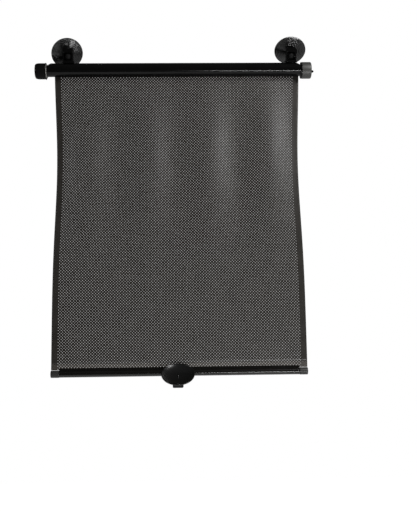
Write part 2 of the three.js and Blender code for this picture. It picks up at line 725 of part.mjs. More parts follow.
function bracket(name) {
  const bed = channelTop + SLIDE_GAP - BALL_RISE;
  const [front, back] = BASE_DEPTH;
  const base = boxOf([-BASE_WIDTH / 2, BASE_WIDTH / 2], [-front, back], [bed, bed + BASE_T]);
  const halfFoot = FOOT_LENGTH / 2;
  const web = CHANNEL_SLOT / 2 - SLIDE_GAP;
  const footTop = channelRoof - SLIDE_GAP - BALL_RISE;
  const footBed = channelBed + SLIDE_GAP - BALL_RISE;
  const footHalf = CHANNEL_WIDTH / 2 - SLIDE_GAP;
  const stem = boxOf([-halfFoot, halfFoot], [-web, web], [footTop - JOIN_LAP, bed + JOIN_LAP]);
  const foot = boxOf([-halfFoot, halfFoot], [-footHalf, footHalf], [footBed, footTop]);
  const block = socketBlock(bed + BASE_T - JOIN_LAP, BLOCK_TOP, BLOCK_DEPTH);
  return toMesh(name, block.add(base).add(stem).add(foot), glossBlack);
}

// The clip's ring grips the film round the bar and is open on the side away from its block
function bottomClip() {
  const bore = hemOuter + SLIDE_GAP;
  const outer = bore + CLIP_WALL;
  const ring = new THREE.Shape();
  const open = CLIP_OPENING / 2;
  ring.absarc(0, -CLIP_ARM, outer, open - Math.PI / 2, 1.5 * Math.PI - open, false);
  ring.absarc(0, -CLIP_ARM, bore, 1.5 * Math.PI - open, open - Math.PI / 2, true);
  ring.closePath();
  const half = CLIP_LENGTH / 2;
  const hollow = rodX(bore, -half - CUT_PAST, half + CUT_PAST).translate([0, 0, -CLIP_ARM]);
  const block = socketBlock(-CLIP_ARM + bore, CLIP_BLOCK_TOP, CLIP_BLOCK_DEPTH).subtract(hollow);
  return toMesh('bottom_clip', alongX(ring, -half, half, 24).add(block), glossBlack);
}

// Assembly

const shade = new THREE.Group();

const head = new THREE.Group();
head.rotation.x = HEAD_TURN;
head.add(casing(), leftEndPlug(), leftCap(), rightEndPlate(), rightCap());
head.add(pawlPin(), pawlSpring(), pawl(), releasePin());
shade.add(head);

for (const [side, x, [up, out]] of [
  ['left', LEFT_BRACKET_X, LEFT_CUP_TILT],
  ['right', RIGHT_BRACKET_X, RIGHT_CUP_TILT],
]) {
  const carrier = place(new THREE.Group(), x, 0, BALL_RISE);
  const cup = suctionCup(`${side}_cup`);
  cup.rotation.set(up * DEG, 0, -out * DEG, 'ZXY');
  carrier.add(bracket(`${side}_bracket`), cup);
  head.add(carrier);
}

shade.add(springArbor(), rewindSpring());
shade.add(rollerTube(), leftHub(), springDrivePlug(), ratchetHub(), filmRoll(), filmClampStrip());
shade.add(filmPanel());

const bar = place(new THREE.Group(), 0, FILM_Y, -FILM_DROP);
bar.add(bottomBar(), barCap('left_bar_cap', -1), barCap('right_bar_cap', 1), filmHem());
shade.add(bar);

const clip = place(new THREE.Group(), CLIP_X, 0, 0);
clip.rotation.x = CLIP_TURN;
const clipHead = place(new THREE.Group(), 0, 0, CLIP_ARM);
clipHead.add(bottomClip(), suctionCup('bottom_cup'));
clip.add(clipHead);
bar.add(clip);

export default shade;
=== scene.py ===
"""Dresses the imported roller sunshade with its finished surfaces, materials, camera and studio."""

import math

import bmesh
import bpy
import numpy as np
from bpy.props import FloatProperty, FloatVectorProperty, IntProperty, PointerProperty
from bpy.types import Operator, Panel, PropertyGroup
from mathutils import Matrix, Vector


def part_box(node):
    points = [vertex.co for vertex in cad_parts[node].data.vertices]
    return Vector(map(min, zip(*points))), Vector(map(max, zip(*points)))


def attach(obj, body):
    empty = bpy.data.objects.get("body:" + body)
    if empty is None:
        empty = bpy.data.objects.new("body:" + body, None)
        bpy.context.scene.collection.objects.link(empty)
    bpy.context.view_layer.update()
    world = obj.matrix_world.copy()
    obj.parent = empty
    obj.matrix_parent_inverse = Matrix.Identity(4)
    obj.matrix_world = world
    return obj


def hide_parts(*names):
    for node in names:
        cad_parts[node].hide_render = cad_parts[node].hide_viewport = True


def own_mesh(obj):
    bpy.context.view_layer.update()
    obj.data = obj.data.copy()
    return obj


bl_info = {
    "name": "Roller Sunshade",
    "version": (1, 0, 0),
    "blender": (4, 5, 0),
    "location": "View3D > Sidebar > Sunshade",
    "description": "Builds the visible surfaces of a side window roller sunshade",
    "category": "Object",
}

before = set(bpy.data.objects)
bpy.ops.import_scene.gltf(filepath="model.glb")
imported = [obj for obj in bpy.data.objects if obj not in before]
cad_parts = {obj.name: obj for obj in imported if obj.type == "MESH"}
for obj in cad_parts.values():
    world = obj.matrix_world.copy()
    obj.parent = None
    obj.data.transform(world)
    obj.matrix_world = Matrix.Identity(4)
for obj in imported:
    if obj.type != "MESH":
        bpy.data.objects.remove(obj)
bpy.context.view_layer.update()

MM = 0.001

# Film, in millimetres
FILM_WIDTH = 360
FILM_T = 0.36
FILM_Y = 5.2
FILM_DROP = 439.4
PANEL_TOP = -0.3
HEM_RISE = 13
HEM_GAP = 0.3
PANEL_FOOT = HEM_RISE + HEM_GAP - FILM_DROP
SHEET_T = 0.22
HEM_LAP = 0.7
HEM_PUCKER = 0.08
HEM_PUCKERS = 400
POCKET_TOP = 8
SLIT_HALF = 0.06
WAVE_HEIGHT = 3.2
WAVE_LENGTH = 88
WAVE_CENTRE = 0.3
WAVE_SPREAD = 0.2
WAIST = 5.2
RIPPLE = 0.35
RIPPLES = (2.3, 0.7)

# Casing section, in millimetres, about the casing's own axis
HEAD_TURN = math.radians(20)
CASING_LEFT = -189.7
CASING_RIGHT = 181.6
CASING_R = 10
CASING_WALL = 1.3
CASING_RISE = 1.75
CASING_FLAT = 9.6
SLOT_FROM = math.radians(-93)
SLOT_TO = math.radians(-46)
CHANNEL_SLOT = 3.4
CHANNEL_WIDTH = 6.8
CHANNEL_HEIGHT = 1.8
CHANNEL_LIP = 1.1
CHANNEL_FLOOR = 0.9
END_CHAMFER = (6, 3.6)
RING_PLACE = 4
RING_HALF_WIDTH = 0.5
RING_DEPTH = 0.35
EVEN_STATIONS = (-175, 172, 40)

# Ends, cups and bar, in millimetres
LEFT_CAP_END = -191
LEFT_CAP_LENGTH = 16
LEFT_CAP_R = 11.6
LEFT_CAP_TAPER = (1.2, 4.5)
LEFT_CAP_RIM = (0.45, 0.9)
RIGHT_CAP_FROM = 183.5
RIGHT_CAP_LENGTH = 13.9
RIGHT_CAP_R = 12.05
CAP_WALL = 1.3
CAP_END_WALL = 1.6
PIN_DROP = 1.5
PIN_HOLE_R = 2.1
PIN_BALL_R = 1.75
PIN_STEM_R = 1.2
PIN_COLLAR_R = 2.8
PIN_COLLAR_T = 1.3
CLEARANCE = 0.3
BALL_R = 5.2
BALL_RISE = 21
LEFT_BRACKET_X = -158.6
RIGHT_BRACKET_X = 167.4
LEFT_CUP_TILT = (19.7, -12.9)
RIGHT_CUP_TILT = (33.8, 0)
CUP_R = 23
CUP_HEIGHT = 15
CUP_HOLLOW = 4.2
CUP_EDGE = 1.1
CUP_EDGE_STEP = (0.2, 0.3)
CUP_BULGE = 0.35
NECK_R = 1.8
BOSS_EDGE = (7.3, 9.5)
NUB_RISE = 2.2
BAR_R = 4.1
BAR_CAP_LENGTH = 11
BAR_CAP_R = 5.1
CLIP_X = -2.4
CLIP_ARM = 20.4
CLIP_TURN = math.radians(130.3)

# Surface noise, in waves per metre, its dust, and the edges of the film's holes in metres
BROAD_SCALE = 45.0
SPECK_SCALE = 900.0
SPECK_LEVEL = 0.66
SPECK_GAIN = 4.0
DUST_COLOUR = (0.22, 0.21, 0.2, 1)
ROUGHNESS_SWING = 0.12
HOLE_EDGE = 0.00012
HOLE_RIM = 0.0003

# Camera, in millimetres and degrees, with the focal length in pixels of the photograph
CAMERA_PLACE = (6.71, -1200.44, -443.38)
CAMERA_YAW = 1.704
CAMERA_PITCH = 7.969
CAMERA_ROLL = -0.805
FOCAL_PIXELS = 850
IMAGE_WIDTH = 417
SENSOR_WIDTH = 36

# Floor, in millimetres, and its tone
FLOOR_HALF_WIDTH = 2500
FLOOR_NEAR = -600
FLOOR_FAR = 2600
FLOOR_HEIGHT = -900
FLOOR_TONE = 0.82
FLOOR_GLOW = 0.9

# Place, aim and size of each light, in metres
KEY_LIGHT = ((0.75, -0.85, 0.55), (0.12, 0, -0.15), (0.5, 0.5))
STRIP_LIGHT = ((0.42, -0.82, -0.80), (0.1, 0, 0), (0.7, 0.05))
FILL_LIGHT = ((-1.1, -0.9, 0.1), (0, 0, -0.2), (0.6, 0.9))

# Brightness of the surround at shares of the way from straight down to straight up
SURROUND = ((0.25, 0.55), (0.45, 0.08), (1.0, 1.0))


# Settings a user would change

class ShadeSizes(PropertyGroup):
    """Sizes of the surface detail that the solids leave out."""

    hole_pitch: FloatProperty(
        name="Hole Pitch", description="Distance between holes in one row of the film",
        default=0.00416, min=0.002, max=0.02, unit="LENGTH")
    hole_width: FloatProperty(
        name="Hole Width", description="Width of one hole in the film",
        default=0.00076, min=0.0003, max=0.008, unit="LENGTH")
    film_border: FloatProperty(
        name="Film Border", description="Plain strip along each side edge of the film",
        default=0.0078, min=0.0, max=0.04, unit="LENGTH")
    cup_grooves: IntProperty(
        name="Cup Grooves", description="Rings on the outside of each suction cup",
        default=7, min=0, max=16)
    groove_depth: FloatProperty(
        name="Groove Depth", description="Height of those rings",
        default=0.00036, min=0.0, max=0.001, unit="LENGTH")
    edge_round: FloatProperty(
        name="Edge Round", description="Width of the rounding along moulded edges",
        default=0.00035, min=0.0, max=0.001, unit="LENGTH")


class ShadeColours(PropertyGroup):
    """Colours of the shade's finishes."""

    casing: FloatVectorProperty(
        name="Casing", description="Glossy plastic of casing, brackets and clip", subtype="COLOR",
        size=4, min=0, max=1, default=(0.0016, 0.0016, 0.0016, 1))
    caps: FloatVectorProperty(
        name="End Caps", description="Matt plastic of the end caps", subtype="COLOR",
        size=4, min=0, max=1, default=(0.020, 0.020, 0.0185, 1))
    rubber: FloatVectorProperty(
        name="Suction Cups", description="Soft rubber of the suction cups", subtype="COLOR",
        size=4, min=0, max=1, default=(0.003, 0.003, 0.003, 1))
    film: FloatVectorProperty(
        name="Film", description="Perforated film", subtype="COLOR",
        size=4, min=0, max=1, default=(0.0125, 0.0112, 0.0098, 1))
    steel: FloatVectorProperty(
        name="Steel", description="Bar, roller, springs and pins", subtype="COLOR",
        size=4, min=0, max=1, default=(0.30, 0.30, 0.31, 1))
    nylon: FloatVectorProperty(
        name="Nylon", description="Hubs, plugs and pawl inside the ends", subtype="COLOR",
        size=4, min=0, max=1, default=(0.16, 0.155, 0.145, 1))


class ShadeStudio(PropertyGroup):
    """Strength of the studio's lights."""

    key_power: FloatProperty(
        name="Key Power", description="Soft light at the upper right", default=26.0,
        min=0.0, max=500.0, subtype="POWER")
    strip_power: FloatProperty(
        name="Strip Power", description="Long low light in front, seen in the casing's gloss",
        default=11.0, min=0.0, max=500.0, subtype="POWER")
    fill_power: FloatProperty(
        name="Fill Power", description="Wide soft light from the left", default=4.0,
        min=0.0, max=500.0, subtype="POWER")
    ambient: FloatProperty(
        name="Ambient", description="Strength of the light from all round", default=0.13,
        min=0.0, max=2.0)


# Placing and mesh helpers

def turn_x(angle):
    """Matrix that turns (x, y, z) rows by an angle about X, Y going towards Z."""
    c, s = math.cos(angle), math.sin(angle)
    return np.array([[1, 0, 0], [0, c, -s], [0, s, c]])


def turn_z(angle):
    """Matrix that turns (x, y, z) rows by an angle about Z, X going towards Y."""
    c, s = math.cos(angle), math.sin(angle)
    return np.array([[c, -s, 0], [s, c, 0], [0, 0, 1]])


def moved(points, turn=None, shift=(0, 0, 0)):
    """Each point turned by the matrix and then shifted."""
    points = np.asarray(points, float)
    if turn is not None:
        points = points @ np.asarray(turn).T
    return points + np.asarray(shift, float)


def grid_faces(rows, columns, around):
    """Four-cornered faces between neighbouring rows and columns of a grid of points.

    Corner (i, j) has number i * columns + j. With around, the last column joins the first.
    """
    i = np.arange(rows - 1)[:, None]
    j = np.arange(columns if around else columns - 1)[None, :]
    k = (j + 1) % columns
    above, below = i * columns, (i + 1) * columns
    faces = np.stack([above + j, below + j, below + k, above + k], -1)
    return faces.reshape(-1, 4)


def new_mesh(name, points, faces, ends=()):
    """A mesh from points in millimetres, four-cornered faces, and many-cornered end faces."""
    mesh = bpy.data.meshes.new(name)
    polygons = [tuple(f) for f in np.asarray(faces).tolist()] + [tuple(e) for e in ends]
    mesh.from_pydata((np.asarray(points, float).reshape(-1, 3) * MM).tolist(), [], polygons)
    return mesh


def closed_outwards(mesh, merge=1e-7):
    """Merges points that meet, drops faces with no area, and turns all faces outwards."""
    work = bmesh.new()
    work.from_mesh(mesh)
    bmesh.ops.remove_doubles(work, verts=work.verts, dist=merge)
    bmesh.ops.dissolve_degenerate(work, edges=work.edges, dist=merge)
    bmesh.ops.recalc_face_normals(work, faces=work.faces)
    work.to_mesh(mesh)
    work.free()
    return mesh


def add_piece(mesh, body, nodes, material, smooth=35, rounding=0.0):
    """Puts a mesh into the scene, shades it, and says what it rides on and stands for.

    Edges bent by more than the smooth angle stay sharp, and a rounding above 0 bevels them.
    """
    piece = bpy.data.objects.new(mesh.name, mesh)
    bpy.context.scene.collection.objects.link(piece)
    mesh.materials.append(material)
    mesh.polygons.foreach_set("use_smooth", np.ones(len(mesh.polygons), bool))
    mesh.set_sharp_from_angle(angle=math.radians(smooth))
    if rounding > 0:
        bevel = piece.modifiers.new("Edge Rounding", "BEVEL")
        bevel.width = rounding
        bevel.segments = 2
        bevel.limit_method = "ANGLE"
        bevel.angle_limit = math.radians(38)
        bevel.harden_normals = True
    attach(piece, body)
    if nodes:
        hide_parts(*nodes)
    return piece


def section_along_x(section, stations, shape=None):
    """Carries a closed outline of (y, z) points along X.

    Point (i, j) is (x of station i, y of outline point j, z of outline point j), and shape may
    then change each ring. The two ends are closed by one many-cornered face each.
    """
    section = np.asarray(section, float)
    stations = np.asarray(stations, float)
    rows, columns = len(stations), len(section)
    points = np.empty((rows, columns, 3))
    points[..., 0] = stations[:, None]
    points[..., 1:] = section[None]
    if shape is not None:
        points = shape(points)
    faces = grid_faces(rows, columns, True)
    last = (rows - 1) * columns
    ends = [list(range(columns)), list(range(last, last + columns))]
    return points, faces, ends


def turned_profile(profile, axis, segments):
    """A profile of (radius, place) points turned about an axis.

    Point (i, j) is place i along the axis and radius i away from it at angle 2 pi j / segments.
    """
    profile = np.asarray(profile, float)
    angle = np.linspace(0, 2 * math.pi, segments, endpoint=False)
    radius = profile[:, 0][:, None]
    place = np.repeat(profile[:, 1][:, None], segments, 1)
    one, two = radius * np.cos(angle), radius * np.sin(angle)
    columns = {"X": (place, one, two), "Y": (one, place, two)}[axis]
    return np.stack(columns, -1), grid_faces(len(profile), segments, True)


def rounded(profile, radius, steps=5):
    """The profile with each listed corner replaced by a curve.

    The curve runs between the points that lie the corner's radius away along both sides, as
    (1 - t)^2 times the first, 2 t (1 - t) times the corner and t^2 times the second.
    """
    profile = [np.asarray(p, float) for p in profile]
    out = [profile[0]]
    for k in range(1, len(profile) - 1):
        before, corner, after = profile[k - 1], profile[k], profile[k + 1]
        r = radius.get(k, 0) if isinstance(radius, dict) else radius
        back, on = np.linalg.norm(before - corner), np.linalg.norm(after - corner)
        reach = min(r, back / 2.01, on / 2.01)
        if reach <= 0:
            out.append(corner)
            continue
        first = corner + (before - corner) * reach / back
        second = corner + (after - corner) * reach / on
        t = np.linspace(0, 1, steps + 1)[:, None]
        out.extend((1 - t) ** 2 * first + 2 * t * (1 - t) * corner + t ** 2 * second)
    out.append(profile[-1])
    return np.array(out)


# Shader nodes

def socket(tree, name, kind, way, default=None):
    """A named socket on a node group."""
    made = tree.interface.new_socket(name=name, in_out=way, socket_type=kind)
    if default is not None:
        made.default_value = default
    return made


def maths(tree, operation, a, b=None, c=None, clamp=False):
    """A Math node, its inputs linked or set, and its output."""
    node = tree.nodes.new("ShaderNodeMath")
    node.operation = operation
    node.use_clamp = clamp
    for k, value in enumerate((a, b, c)):
        if value is None:
            continue
        if hasattr(value, "links"):
            tree.links.new(value, node.inputs[k])
        else:
            node.inputs[k].default_value = value
    return node.outputs[0]


def vector_maths(tree, operation, a, b=None):
    """A Vector Math node, its inputs linked or set, and its output."""
    node = tree.nodes.new("ShaderNodeVectorMath")
    node.operation = operation
    for k, value in enumerate((a, b)):
        if value is None:
            continue
        if hasattr(value, "links"):
            tree.links.new(value, node.inputs[k])
        else:
            node.inputs[k].default_value = value
    return node.outputs["Value" if operation == "LENGTH" else "Vector"]


def noise(tree, vector, scale, detail=3.0, roughness=0.5):
    """A Noise Texture read at the given place, and its value."""
    node = tree.nodes.new("ShaderNodeTexNoise")
    node.inputs["Scale"].default_value = scale
    node.inputs["Detail"].default_value = detail
    node.inputs["Roughness"].default_value = roughness
    tree.links.new(vector, node.inputs["Vector"])
    return node.outputs["Fac"]


def moulded_surface_group():
    """Node group of a moulded surface: fine grain, broad unevenness and faint dust."""
    name = "Moulded Surface"
    if name in bpy.data.node_groups:
        return bpy.data.node_groups[name]
    tree = bpy.data.node_groups.new(name, "ShaderNodeTree")
    socket(tree, "Vector", "NodeSocketVector", "INPUT")
    socket(tree, "Colour", "NodeSocketColor", "INPUT", (0.05, 0.05, 0.05, 1))
    socket(tree, "Roughness", "NodeSocketFloat", "INPUT", 0.3)
    socket(tree, "Grain Size", "NodeSocketFloat", "INPUT", 1500.0)
    socket(tree, "Unevenness", "NodeSocketFloat", "INPUT", 0.3)
    socket(tree, "Dust", "NodeSocketFloat", "INPUT", 0.02)
    socket(tree, "Colour", "NodeSocketColor", "OUTPUT")
    socket(tree, "Roughness", "NodeSocketFloat", "OUTPUT")
    socket(tree, "Height", "NodeSocketFloat", "OUTPUT")
    given = tree.nodes.new("NodeGroupInput")
    result = tree.nodes.new("NodeGroupOutput")
    fine_place = vector_maths(tree, "SCALE", given.outputs["Vector"])
    tree.links.new(given.outputs["Grain Size"], fine_place.node.inputs["Scale"])
    fine = noise(tree, fine_place, 1.0, 2.0)
    broad = noise(tree, given.outputs["Vector"], BROAD_SCALE, 4.0)
    specks = noise(tree, given.outputs["Vector"], SPECK_SCALE, 2.0)
    swing = maths(tree, "SUBTRACT", broad, 0.5)
    shade = maths(tree, "MULTIPLY_ADD", swing, given.outputs["Unevenness"], 1.0)
    tinted = tree.nodes.new("ShaderNodeVectorMath")
    tinted.operation = "SCALE"
    tree.links.new(given.outputs["Colour"], tinted.inputs[0])
    tree.links.new(shade, tinted.inputs["Scale"])
    above_level = maths(tree, "SUBTRACT", specks, SPECK_LEVEL, clamp=True)
    speck = maths(tree, "MULTIPLY", above_level, SPECK_GAIN, clamp=True)
    mix = tree.nodes.new("ShaderNodeMix")
    mix.data_type = "RGBA"
    mix.inputs[7].default_value = DUST_COLOUR
    tree.links.new(maths(tree, "MULTIPLY", speck, given.outputs["Dust"]), mix.inputs[0])
    tree.links.new(tinted.outputs[0], mix.inputs[6])
    tree.links.new(mix.outputs[2], result.inputs["Colour"])
    rough = maths(tree, "MULTIPLY_ADD", swing, ROUGHNESS_SWING, given.outputs["Roughness"])
    tree.links.new(rough, result.inputs["Roughness"])
    tree.links.new(maths(tree, "MULTIPLY_ADD", broad, 2.0, fine), result.inputs["Height"])
    return tree


def perforation_group():
    """Node group of the film's holes, on a square net with one more hole in each square's middle.

    The place is divided by the pitch; each net's distance is the length of what is left after
    rounding to the nearest whole number, and the nearer net counts. Inside the plain borders the
    alpha goes from 0 to 1 across the hole's edge.
    """
    name = "Film Perforation"
    if name in bpy.data.node_groups:
        return bpy.data.node_groups[name]
    tree = bpy.data.node_groups.new(name, "ShaderNodeTree")
    socket(tree, "Place", "NodeSocketVector", "INPUT")
    socket(tree, "Pitch", "NodeSocketFloat", "INPUT", 0.00415)
    socket(tree, "Hole Width", "NodeSocketFloat", "INPUT", 0.0014)
    socket(tree, "Half Perforated Width", "NodeSocketFloat", "INPUT", 0.172)
    socket(tree, "Alpha", "NodeSocketFloat", "OUTPUT")
    socket(tree, "Rim", "NodeSocketFloat", "OUTPUT")
    given = tree.nodes.new("NodeGroupInput")
    result = tree.nodes.new("NodeGroupOutput")
    pitch = given.outputs["Pitch"]
    spread = vector_maths(tree, "SCALE", given.outputs["Place"])
    tree.links.new(maths(tree, "DIVIDE", 1.0, pitch), spread.node.inputs["Scale"])

    def off_net(shift):
        """Distance from the nearest hole of one net, in pitches."""
        cell = vector_maths(tree, "FRACTION", vector_maths(tree, "ADD", spread, (shift, shift, 0)))
        return vector_maths(tree, "LENGTH", vector_maths(tree, "SUBTRACT", cell, (0.5, 0.5, 0)))

    near = maths(tree, "MULTIPLY", maths(tree, "MINIMUM", off_net(0.0), off_net(0.5)), pitch)
    radius = maths(tree, "MULTIPLY", given.outputs["Hole Width"], 0.5)
    beyond = maths(tree, "SUBTRACT", near, radius)
    open_edge = maths(tree, "MULTIPLY_ADD", beyond, 1 / HOLE_EDGE, 0.5, clamp=True)
    split = tree.nodes.new("ShaderNodeSeparateXYZ")
    tree.links.new(given.outputs["Place"], split.inputs[0])
    off_middle = maths(tree, "ABSOLUTE", split.outputs[0])
    border = maths(tree, "GREATER_THAN", off_middle, given.outputs["Half Perforated Width"])
    tree.links.new(maths(tree, "MAXIMUM", open_edge, border), result.inputs["Alpha"])
    past_rim = maths(tree, "MULTIPLY", beyond, 1 / HOLE_RIM, clamp=True)
    rim = maths(tree, "SUBTRACT", 1.0, past_rim)
    inside = maths(tree, "SUBTRACT", 1.0, border)
    tree.links.new(maths(tree, "MULTIPLY", rim, inside), result.inputs["Rim"])
    return tree


def coordinates(tree, kind="Object"):
    """The Texture Coordinate node's output of one kind."""
    return tree.nodes.new("ShaderNodeTexCoord").outputs[kind]


def moulded_material(name, colour, roughness, grain, unevenness, dust, bump, metallic=0.0,
                     specular=0.5):
    """A plastic, rubber or metal whose colour and roughness vary a little over the surface."""
    if name in bpy.data.materials:
        return bpy.data.materials[name]
    material = bpy.data.materials.new(name)
    material.use_nodes = True
    tree = material.node_tree
    shader = tree.nodes["Principled BSDF"]
    surface = tree.nodes.new("ShaderNodeGroup")
    surface.node_tree = moulded_surface_group()
    tree.links.new(coordinates(tree), surface.inputs["Vector"])
    surface.inputs["Colour"].default_value = tuple(colour)
    surface.inputs["Roughness"].default_value = roughness
    surface.inputs["Grain Size"].default_value = grain
    surface.inputs["Unevenness"].default_value = unevenness
    surface.inputs["Dust"].default_value = dust
    tree.links.new(surface.outputs["Colour"], shader.inputs["Base Color"])
    tree.links.new(surface.outputs["Roughness"], shader.inputs["Roughness"])
    relief = tree.nodes.new("ShaderNodeBump")
    relief.inputs["Strength"].default_value = bump
    relief.inputs["Distance"].default_value = 0.00005
    tree.links.new(surface.outputs["Height"], relief.inputs["Height"])
    tree.links.new(relief.outputs[0], shader.inputs["Normal"])
    shader.inputs["Metallic"].default_value = metallic
    shader.inputs["Specular IOR Level"].default_value = specular
    return material


def dimmed(colour, share):
    """The colour times a share, with full alpha."""
    return [c * share for c in colour[:3]] + [1]


def gloss_plastic():
    """Glossy black plastic of casing, brackets, clip and release button."""
    return moulded_material(
        "Casing Plastic", bpy.context.scene.shade_colours.casing, roughness=0.14, grain=2500.0,
        unevenness=0.4, dust=0.02, bump=0.05, specular=0.1)


def cap_plastic(name="Cap Plastic", share=1.0):
    """Matt plastic of the caps, whose colour and gloss are a share of the full ones."""
    return moulded_material(
        name, dimmed(bpy.context.scene.shade_colours.caps, share), roughness=0.45, grain=3500.0,
        unevenness=0.35, dust=0.05, bump=0.35, specular=0.3 * share)


def cup_rubber():
    """Smooth soft rubber of the suction cups."""
    return moulded_material(
        "Cup Rubber", bpy.context.scene.shade_colours.rubber, roughness=0.22, grain=1800.0,
        unevenness=0.3, dust=0.03, bump=0.05, specular=0.35)


def ball_rubber():
    """The same rubber, duller, on the ball inside a socket."""
    return moulded_material(
        "Ball Rubber", bpy.context.scene.shade_colours.rubber, roughness=0.6, grain=1800.0,
        unevenness=0.3, dust=0.03, bump=0.05, specular=0.05)


def bar_steel():
    """Bare steel of bar, roller, springs and pins."""
    return moulded_material(
        "Bar Steel", bpy.context.scene.shade_colours.steel, roughness=0.32, grain=4000.0,
        unevenness=0.3, dust=0.03, bump=0.1, metallic=1.0)


def hub_nylon():
    """Pale nylon of hubs, plugs and pawl."""
    return moulded_material(
        "Hub Nylon", bpy.context.scene.shade_colours.nylon, roughness=0.5, grain=2200.0,
        unevenness=0.2, dust=0.04, bump=0.2)


def film_material(name, holes, roughness=0.34, share=1.0, specular=0.18):
    """Film of a slightly uneven colour, which is a share of the full one.

    With holes, they are open and each has a raised rim.
    """
    if name in bpy.data.materials:
        return bpy.data.materials[name]
    sizes = bpy.context.scene.shade_sizes
    material = bpy.data.materials.new(name)
    material.use_nodes = True
    tree = material.node_tree
    shader = tree.nodes["Principled BSDF"]
    place = coordinates(tree, "UV" if holes else "Object")
    surface = tree.nodes.new("ShaderNodeGroup")
    surface.node_tree = moulded_surface_group()
    tree.links.new(place, surface.inputs["Vector"])
    surface.inputs["Colour"].default_value = dimmed(bpy.context.scene.shade_colours.film, share)
    shader.inputs["Specular IOR Level"].default_value = specular
    surface.inputs["Roughness"].default_value = roughness
    surface.inputs["Grain Size"].default_value = 900.0
    surface.inputs["Unevenness"].default_value = 0.5
    surface.inputs["Dust"].default_value = 0.03
    tree.links.new(surface.outputs["Colour"], shader.inputs["Base Color"])
    tree.links.new(surface.outputs["Roughness"], shader.inputs["Roughness"])
    height = surface.outputs["Height"]
    if holes:
        net = tree.nodes.new("ShaderNodeGroup")
        net.node_tree = perforation_group()
        net.inputs["Pitch"].default_value = sizes.hole_pitch
        net.inputs["Hole Width"].default_value = sizes.hole_width
        net.inputs["Half Perforated Width"].default_value = FILM_WIDTH * MM / 2 - sizes.film_border
        tree.links.new(place, net.inputs["Place"])
        tree.links.new(net.outputs["Alpha"], shader.inputs["Alpha"])
        height = maths(tree, "MULTIPLY_ADD", net.outputs["Rim"], 2.0, height)
    relief = tree.nodes.new("ShaderNodeBump")
    relief.inputs["Strength"].default_value = 0.2
    relief.inputs["Distance"].default_value = 0.00008
    tree.links.new(height, relief.inputs["Height"])
    tree.links.new(relief.outputs[0], shader.inputs["Normal"])
    return material


def pocket_film_painted_shade():
    """The unperforated film round the bar, and in the turns on the roller, at a fifth of the film's
    colour: painted shade on the same film.
    """
    return film_material("Pocket Film Painted Shade", False, roughness=0.2, share=0.2, specular=0.25)


# Camera and studio

class SUNSHADE_OT_camera(Operator):
    """Place the camera where the photograph was taken from"""

    bl_idname = "sunshade.camera"
    bl_label = "Camera"

    def execute(self, context):
        """Forward is (sin yaw cos pitch, cos yaw cos pitch, sin pitch).

        Right lies level, and then rolls about forward.
        """
        yaw, pitch, roll = np.radians((CAMERA_YAW, CAMERA_PITCH, CAMERA_ROLL))
        ahead = np.array([
            math.sin(yaw) * math.cos(pitch), math.cos(yaw) * math.cos(pitch), math.sin(pitch)])
        level = np.cross(ahead, (0, 0, 1))
        level /= np.linalg.norm(level)
        above = np.cross(level, ahead)
        right = math.cos(roll) * level + math.sin(roll) * above
        up = -math.sin(roll) * level + math.cos(roll) * above
        data = bpy.data.cameras.new("Camera")
        data.sensor_fit = "HORIZONTAL"
        data.sensor_width = SENSOR_WIDTH
        data.lens = FOCAL_PIXELS * SENSOR_WIDTH / IMAGE_WIDTH
        data.clip_start = 0.05
        camera = bpy.data.objects.new("Camera", data)
        context.scene.collection.objects.link(camera)
        place = Matrix.Identity(4)
        for column, axis in enumerate((right, up, -ahead, np.array(CAMERA_PLACE) * MM)):
            for row in range(3):
                place[row][column] = axis[row]
        camera.matrix_world = place
        context.scene.camera = camera
        return {"FINISHED"}


def area_light(name, place, aim, size, power):
    """A rectangular light at a place, facing another."""
    data = bpy.data.lights.new(name, "AREA")
    data.shape = "RECTANGLE"
    data.size, data.size_y = size
    data.energy = power
    light = bpy.data.objects.new(name, data)
    bpy.context.scene.collection.objects.link(light)
    back = np.asarray(place, float) - np.asarray(aim, float)
    back /= np.linalg.norm(back)
    side = np.cross((0, 0, 1), back)
    side /= np.linalg.norm(side)
    over = np.cross(back, side)
    spot = Matrix.Identity(4)
    for column, axis in enumerate((side, over, back, np.asarray(place, float))):
        for row in range(3):
            spot[row][column] = axis[row]
    light.matrix_world = spot
    return light


def pale_material(name):
    """Pale matt floor that camera, gloss and clear parts see as nearly white, with its shadows."""
    material = bpy.data.materials.new(name)
    material.use_nodes = True
    tree = material.node_tree
    tree.nodes.clear()
    matt = tree.nodes.new("ShaderNodeBsdfDiffuse")
    matt.inputs["Color"].default_value = (FLOOR_TONE, FLOOR_TONE, FLOOR_TONE, 1)
    glow = tree.nodes.new("ShaderNodeEmission")
    glow.inputs["Strength"].default_value = FLOOR_GLOW
    path = tree.nodes.new("ShaderNodeLightPath")
    seen = maths(tree, "MAXIMUM", path.outputs["Is Camera Ray"], path.outputs["Is Transmission Ray"])
    seen = maths(tree, "MAXIMUM", seen, path.outputs["Is Glossy Ray"])
    empty = tree.nodes.new("ShaderNodeEmission")
    empty.inputs["Strength"].default_value = 0.0
    choose = tree.nodes.new("ShaderNodeMixShader")
    tree.links.new(seen, choose.inputs[0])
    tree.links.new(empty.outputs[0], choose.inputs[1])
    tree.links.new(glow.outputs[0], choose.inputs[2])
    both = tree.nodes.new("ShaderNodeAddShader")
    tree.links.new(matt.outputs[0], both.inputs[0])
    tree.links.new(choose.outputs[0], both.inputs[1])
    out = tree.nodes.new("ShaderNodeOutputMaterial")
    tree.links.new(both.outputs[0], out.inputs["Surface"])
    return material


